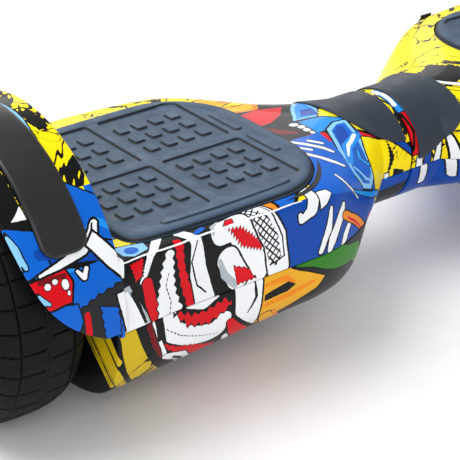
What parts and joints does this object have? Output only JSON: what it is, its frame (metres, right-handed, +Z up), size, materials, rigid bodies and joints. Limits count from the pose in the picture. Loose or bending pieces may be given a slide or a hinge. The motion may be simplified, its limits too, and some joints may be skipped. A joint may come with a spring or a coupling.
{
  "type": "self balancing hoverboard",
  "caption": "Two-wheel self-balancing board whose two foot decks twist against each other at a rounded neck, with hub-motor wheels under arched fenders.",
  "frame": {"origin": "on the ground, midway between the two wheels, under the pivot of the neck", "axes": "+X along the wheel axles to the right half, -Y the front where the toes point, +Z up"},
  "size_m": [0.65, 0.191, 0.1803],
  "materials": {
    "printed_shell": "injection-moulded shell under a glossy printed film: yellow, cobalt, red, white and black abstract spray and comic-style shapes",
    "pad_rubber": "slate blue-grey satin rubber with moulded grip cleats",
    "black_rubber": "matte black rubber",
    "tyre": "near-black solid rubber with a siped tread",
    "trim_plastic": "dark slate matte plastic, fine spark texture",
    "cast_aluminium": "die-cast, unpolished",
    "steel": "turned and zinc plated",
    "bearing_steel": "ground bearing steel",
    "winding": "copper windings on iron laminations",
    "magnet": "nickel-plated magnets in a ring",
    "painted_rim": "satin black paint over cast metal",
    "bronze": "sintered bronze",
    "battery_wrap": "blue shrink film over a block of cells",
    "circuit_board": "green solder mask",
    "black_plastic": "moulded black plastic",
    "cable": "sleeved wires",
    "cap_silver": "silver-lacquered plastic"
  },
  "bodies": {
    "left_half": {"bottom_shell_left": "printed_shell", "bumper_strip_left": "black_rubber", "neck_trim_left": "trim_plastic", "sensor_board_left": "circuit_board", "axle_clamp_left": "cast_aluminium", "axle_left": "steel", "stator_left": "winding", "clamp_bolt_1_left": "steel", "clamp_bolt_2_left": "steel", "belly_screw_1_left": "steel", "belly_screw_2_left": "steel", "belly_screw_3_left": "steel", "belly_screw_4_left": "steel", "top_shell_left": "printed_shell", "chassis_left": "cast_aluminium", "pivot_tube": "steel", "pivot_collar": "steel", "wire_loom": "cable", "battery_pack": "battery_wrap"},
    "right_half": {"bottom_shell_right": "printed_shell", "bumper_strip_right": "black_rubber", "neck_trim_right": "trim_plastic", "sensor_board_right": "circuit_board", "axle_clamp_right": "cast_aluminium", "axle_right": "steel", "stator_right": "winding", "clamp_bolt_1_right": "steel", "clamp_bolt_2_right": "steel", "belly_screw_1_right": "steel", "belly_screw_2_right": "steel", "belly_screw_3_right": "steel", "belly_screw_4_right": "steel", "top_shell_right": "printed_shell", "chassis_right": "cast_aluminium", "pivot_bush_inner": "bronze", "pivot_bush_outer": "bronze", "main_board": "circuit_board", "board_tray": "black_plastic", "charge_port": "black_plastic", "cap_hinge": "black_rubber", "button_bezel": "black_plastic"},
    "wheel_left": {"tyre_left": "tyre", "rim_left": "painted_rim", "motor_cover_left": "painted_rim", "magnet_ring_left": "magnet", "bearing_inner_left": "bearing_steel", "bearing_outer_left": "bearing_steel", "hub_cap_left": "cap_silver"},
    "wheel_right": {"tyre_right": "tyre", "rim_right": "painted_rim", "motor_cover_right": "painted_rim", "magnet_ring_right": "magnet", "bearing_inner_right": "bearing_steel", "bearing_outer_right": "bearing_steel", "hub_cap_right": "cap_silver"},
    "pad_left": {"foot_pad_left": "pad_rubber"},
    "pad_right": {"foot_pad_right": "pad_rubber"},
    "button": {"power_button": "cap_silver"},
    "cap": {"charge_cap": "black_rubber"}
  },
  "joints": [
    {"name": "half_twist", "type": "hinge", "parent": "left_half", "child": "right_half", "pos_m": [0, 0, 0.0825], "axis": [1, 0, 0], "range_deg": [-14, 14]},
    {"name": "left_wheel_spin", "type": "hinge", "parent": "left_half", "child": "wheel_left", "pos_m": [-0.298, 0, 0.0825], "axis": [1, 0, 0], "continuous": true},
    {"name": "right_wheel_spin", "type": "hinge", "parent": "right_half", "child": "wheel_right", "pos_m": [0.298, 0, 0.0825], "axis": [1, 0, 0], "continuous": true},
    {"name": "left_pad_press", "type": "slide", "parent": "left_half", "child": "pad_left", "axis": [0, 0, -1], "range_m": [0, 0.0012], "stiffness_N_per_m": 20000},
    {"name": "right_pad_press", "type": "slide", "parent": "right_half", "child": "pad_right", "axis": [0, 0, -1], "range_m": [0, 0.0012], "stiffness_N_per_m": 20000},
    {"name": "power_button_press", "type": "slide", "parent": "right_half", "child": "button", "axis": [0, -1, 0], "range_m": [0, 0.0015], "stiffness_N_per_m": 1200},
    {"name": "charge_cap_open", "type": "hinge", "parent": "right_half", "child": "cap", "pos_m": [0.128, 0.09255, 0.1094], "axis": [1, 0, 0], "range_deg": [0, 130]}
  ]
}
